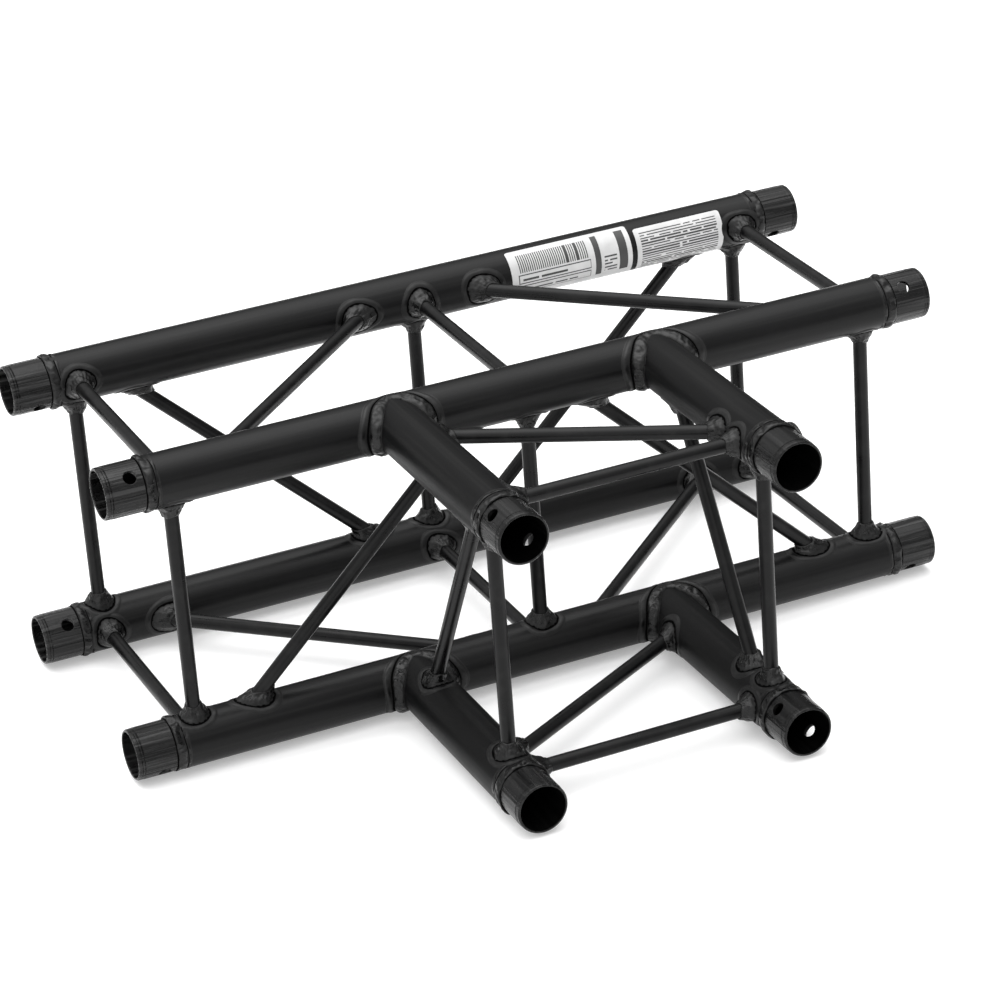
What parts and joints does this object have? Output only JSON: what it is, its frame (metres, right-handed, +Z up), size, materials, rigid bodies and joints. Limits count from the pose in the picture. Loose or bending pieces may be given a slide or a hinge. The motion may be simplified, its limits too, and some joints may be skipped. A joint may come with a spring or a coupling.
{
  "type": "lighting truss T-junction",
  "caption": "Square box truss T-junction: tubular main run and side branch braced with round bars, welded, black painted, with socket couplers at every chord end.",
  "frame": {"origin": "under the middle of the whole outline, at the height of the lowest weld, where the junction stands", "axes": "+X along the main run, -Y along the branch, +Z up"},
  "size_m": [0.583, 0.4029, 0.223],
  "materials": {
    "tube_paint": "satin",
    "brace_paint": "satin",
    "coupler_paint": "satin",
    "weld_paint": "gloss",
    "label_film": "matte"
  },
  "bodies": {
    "root": {"back_diagonal_left": "brace_paint", "back_diagonal_right": "brace_paint", "back_post_left": "brace_paint", "back_post_middle": "brace_paint", "back_post_right": "brace_paint", "bottom_bar_left": "brace_paint", "bottom_bar_middle": "brace_paint", "bottom_bar_right": "brace_paint", "bottom_diagonal_left": "brace_paint", "bottom_diagonal_right": "brace_paint", "brace_welds_back": "weld_paint", "brace_welds_bottom": "weld_paint", "brace_welds_branch": "weld_paint", "brace_welds_front": "weld_paint", "brace_welds_top": "weld_paint", "branch_bottom_bar": "brace_paint", "branch_bottom_diagonal": "brace_paint", "branch_chord_bottom_left": "tube_paint", "branch_chord_bottom_right": "tube_paint", "branch_chord_top_left": "tube_paint", "branch_chord_top_right": "tube_paint", "branch_left_diagonal": "brace_paint", "branch_left_post": "brace_paint", "branch_right_diagonal": "brace_paint", "branch_right_post": "brace_paint", "branch_top_bar": "brace_paint", "branch_top_diagonal": "brace_paint", "coupler_bottom_back_left": "coupler_paint", "coupler_bottom_back_right": "coupler_paint", "coupler_bottom_front_left": "coupler_paint", "coupler_bottom_front_right": "coupler_paint", "coupler_branch_bottom_left": "coupler_paint", "coupler_branch_bottom_right": "coupler_paint", "coupler_branch_top_left": "coupler_paint", "coupler_branch_top_right": "coupler_paint", "coupler_top_back_left": "coupler_paint", "coupler_top_back_right": "coupler_paint", "coupler_top_front_left": "coupler_paint", "coupler_top_front_right": "coupler_paint", "front_diagonal_left": "brace_paint", "front_diagonal_right": "brace_paint", "front_post_left": "brace_paint", "front_post_middle": "brace_paint", "front_post_right": "brace_paint", "label_long": "label_film", "label_short": "label_film", "main_chord_bottom_back": "tube_paint", "main_chord_bottom_front": "tube_paint", "main_chord_top_back": "tube_paint", "main_chord_top_front": "tube_paint", "ring_welds_lower": "weld_paint", "ring_welds_upper": "weld_paint", "saddle_welds": "weld_paint", "top_bar_left": "brace_paint", "top_bar_middle": "brace_paint", "top_bar_right": "brace_paint", "top_diagonal_left": "brace_paint", "top_diagonal_right": "brace_paint"}
  },
  "joints": []
}
